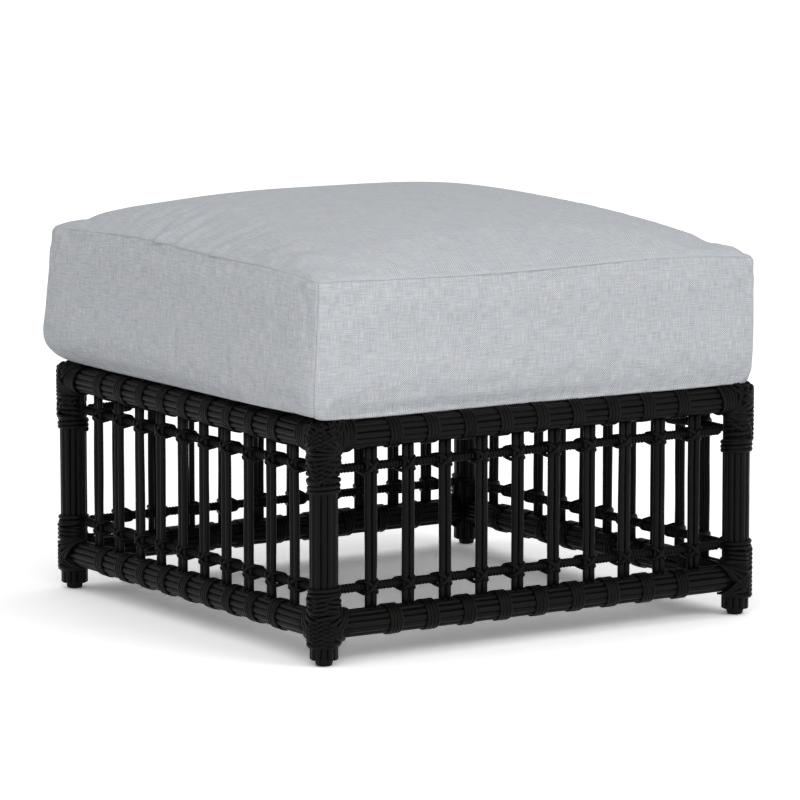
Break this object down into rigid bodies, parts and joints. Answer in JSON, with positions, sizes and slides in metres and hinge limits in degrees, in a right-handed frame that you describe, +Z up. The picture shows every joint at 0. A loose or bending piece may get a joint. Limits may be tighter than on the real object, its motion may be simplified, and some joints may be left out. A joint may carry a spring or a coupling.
{
  "type": "outdoor ottoman footstool",
  "caption": "Square outdoor ottoman: a dark wicker frame of bundled posts and rails with lattice sides, carrying a loose, crowned box cushion with a zipped fabric cover.",
  "frame": {"origin": "on the floor, under the middle of the square frame", "axes": "+Z up, -Y towards the front side, -X towards the left side; the zip is in the back of the cushion, at +Y"},
  "size_m": [0.607, 0.607, 0.4858],
  "materials": {
    "wicker": "matte charcoal synthetic wicker strand, fine lengthwise grain",
    "powder_coated_tube": "charcoal powder coat on aluminium, satin",
    "glide_nylon": "moulded black nylon",
    "cushion_fabric": "pale grey linen-like outdoor weave, matt",
    "foam": "open-cell foam, matt",
    "zip_coil": "grey zip tape, coil and slider"
  },
  "bodies": {
    "frame": {"top_rail_tube_front": "powder_coated_tube", "top_rail_strands_front": "wicker", "bottom_rail_tube_front": "powder_coated_tube", "bottom_rail_strands_front": "wicker", "lattice_front": "wicker", "top_rail_tube_right": "powder_coated_tube", "top_rail_strands_right": "wicker", "bottom_rail_tube_right": "powder_coated_tube", "bottom_rail_strands_right": "wicker", "lattice_right": "wicker", "top_rail_tube_back": "powder_coated_tube", "top_rail_strands_back": "wicker", "bottom_rail_tube_back": "powder_coated_tube", "bottom_rail_strands_back": "wicker", "lattice_back": "wicker", "top_rail_tube_left": "powder_coated_tube", "top_rail_strands_left": "wicker", "bottom_rail_tube_left": "powder_coated_tube", "bottom_rail_strands_left": "wicker", "lattice_left": "wicker", "post_tube_front_left": "powder_coated_tube", "post_strands_front_left": "wicker", "glide_front_left": "glide_nylon", "upper_wrap_front_left": "wicker", "lower_wrap_front_left": "wicker", "post_tube_front_right": "powder_coated_tube", "post_strands_front_right": "wicker", "glide_front_right": "glide_nylon", "upper_wrap_front_right": "wicker", "lower_wrap_front_right": "wicker", "post_tube_back_right": "powder_coated_tube", "post_strands_back_right": "wicker", "glide_back_right": "glide_nylon", "upper_wrap_back_right": "wicker", "lower_wrap_back_right": "wicker", "post_tube_back_left": "powder_coated_tube", "post_strands_back_left": "wicker", "glide_back_left": "glide_nylon", "upper_wrap_back_left": "wicker", "lower_wrap_back_left": "wicker", "deck_slat_1": "powder_coated_tube", "deck_slat_2": "powder_coated_tube", "deck_slat_3": "powder_coated_tube", "deck_slat_4": "powder_coated_tube", "deck_slat_5": "powder_coated_tube", "deck_slat_6": "powder_coated_tube", "deck_slat_7": "powder_coated_tube", "deck_slat_8": "powder_coated_tube", "deck_crossbar_front": "powder_coated_tube", "deck_crossbar_back": "powder_coated_tube"},
    "cushion": {"cushion_foam": "foam", "cushion_bottom_panel": "cushion_fabric", "cushion_boxing": "cushion_fabric", "cushion_top_panel": "cushion_fabric", "zip_tape": "zip_coil"},
    "zip_slider": {"zip_slider": "zip_coil"}
  },
  "joints": [
    {"name": "cushion_lift", "type": "slide", "parent": "frame", "child": "cushion", "axis": [0, 0, 1], "range_m": [0, 0.25]},
    {"name": "zip_slide", "type": "slide", "parent": "cushion", "child": "zip_slider", "axis": [1, 0, 0], "range_m": [0, 0.4]}
  ]
}
